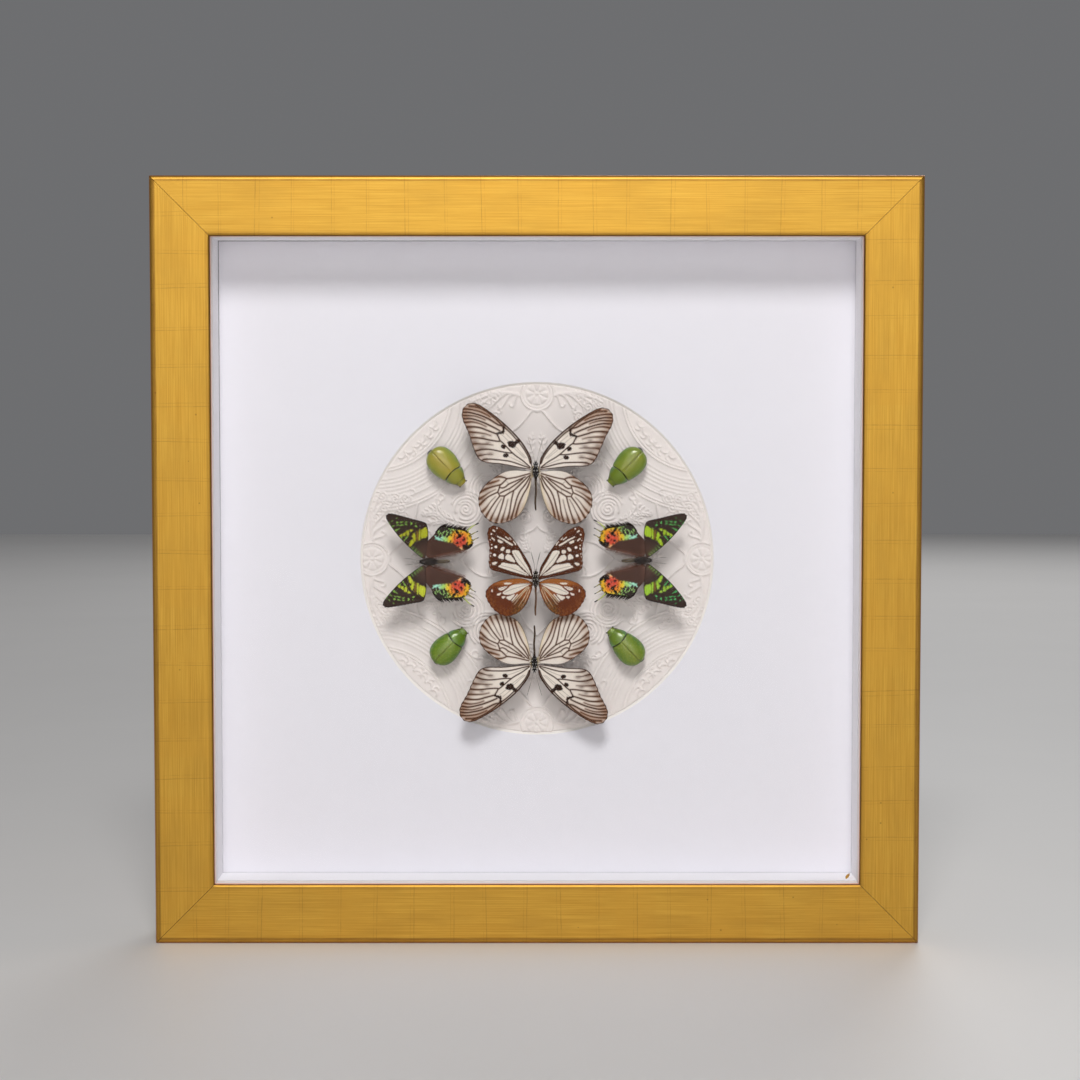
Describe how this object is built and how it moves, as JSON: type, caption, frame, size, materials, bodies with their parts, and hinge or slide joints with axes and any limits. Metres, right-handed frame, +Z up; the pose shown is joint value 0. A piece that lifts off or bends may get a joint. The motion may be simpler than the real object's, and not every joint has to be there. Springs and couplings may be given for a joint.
{
  "type": "framed butterfly specimen",
  "caption": "Square gilded shadow-box frame with a glass front and a white mat whose round window shows pinned butterflies, moths and green beetles on embossed white paper.",
  "frame": {"origin": "middle of the underside of the frame, halfway through its depth", "axes": "+Z up, the glass front looks along -Y, +X to the viewer's right when facing the front"},
  "size_m": [0.588, 0.0624, 0.588],
  "materials": {
    "gold_leaf": "gold leaf over red clay on wood, satin, lightly rubbed",
    "clear_glass": "clear and polished",
    "white_board": "matte white board",
    "embossed_paper": "matte white embossed paper on board",
    "brown_board": "plain matte board",
    "kraft_paper": "matte kraft paper",
    "hanger_steel": "bright stamped steel",
    "bumper_rubber": "matte rubber",
    "wing_cream": "cream wing membrane with dark brown veins, matte",
    "wing_brown": "chestnut and dark brown wing with pale patches, matte",
    "wing_iridescent": "brown-black wing with green, yellow and orange bands, satin",
    "insect_body": "dry dark hairy body, matte",
    "beetle_shell": "green wing cases, satin gloss",
    "pin_steel": "thin steel pin"
  },
  "bodies": {
    "root": {"frame_rail_top": "gold_leaf", "frame_rail_right": "gold_leaf", "frame_rail_bottom": "gold_leaf", "frame_rail_left": "gold_leaf", "glass": "clear_glass", "spacer_top": "white_board", "spacer_bottom": "white_board", "spacer_left": "white_board", "spacer_right": "white_board", "mat": "white_board", "embossed_panel": "embossed_paper", "backing_board": "brown_board", "dust_cover": "kraft_paper", "hanger_left": "hanger_steel", "hanger_nail_left_outer": "hanger_steel", "hanger_nail_left_inner": "hanger_steel", "bumper_left": "bumper_rubber", "hanger_right": "hanger_steel", "hanger_nail_right_outer": "hanger_steel", "hanger_nail_right_inner": "hanger_steel", "bumper_right": "bumper_rubber", "tree_nymph_upper_body": "insect_body", "tree_nymph_upper_forewing_left": "wing_cream", "tree_nymph_upper_forewing_right": "wing_cream", "tree_nymph_upper_hindwing_left": "wing_cream", "tree_nymph_upper_hindwing_right": "wing_cream", "tree_nymph_upper_pin": "pin_steel", "tiger_middle_body": "insect_body", "tiger_middle_forewing_left": "wing_brown", "tiger_middle_forewing_right": "wing_brown", "tiger_middle_hindwing_left": "wing_brown", "tiger_middle_hindwing_right": "wing_brown", "tiger_middle_pin": "pin_steel", "tree_nymph_lower_body": "insect_body", "tree_nymph_lower_forewing_left": "wing_cream", "tree_nymph_lower_forewing_right": "wing_cream", "tree_nymph_lower_hindwing_left": "wing_cream", "tree_nymph_lower_hindwing_right": "wing_cream", "tree_nymph_lower_pin": "pin_steel", "sunset_moth_left_body": "insect_body", "sunset_moth_left_forewing_left": "wing_iridescent", "sunset_moth_left_forewing_right": "wing_iridescent", "sunset_moth_left_hindwing_left": "wing_iridescent", "sunset_moth_left_hindwing_right": "wing_iridescent", "sunset_moth_left_pin": "pin_steel", "sunset_moth_right_body": "insect_body", "sunset_moth_right_forewing_left": "wing_iridescent", "sunset_moth_right_forewing_right": "wing_iridescent", "sunset_moth_right_hindwing_left": "wing_iridescent", "sunset_moth_right_hindwing_right": "wing_iridescent", "sunset_moth_right_pin": "pin_steel", "beetle_upper_left_body": "beetle_shell", "beetle_upper_left_pin": "pin_steel", "beetle_upper_right_body": "beetle_shell", "beetle_upper_right_pin": "pin_steel", "beetle_lower_left_body": "beetle_shell", "beetle_lower_left_pin": "pin_steel", "beetle_lower_right_body": "beetle_shell", "beetle_lower_right_pin": "pin_steel"}
  },
  "joints": []
}
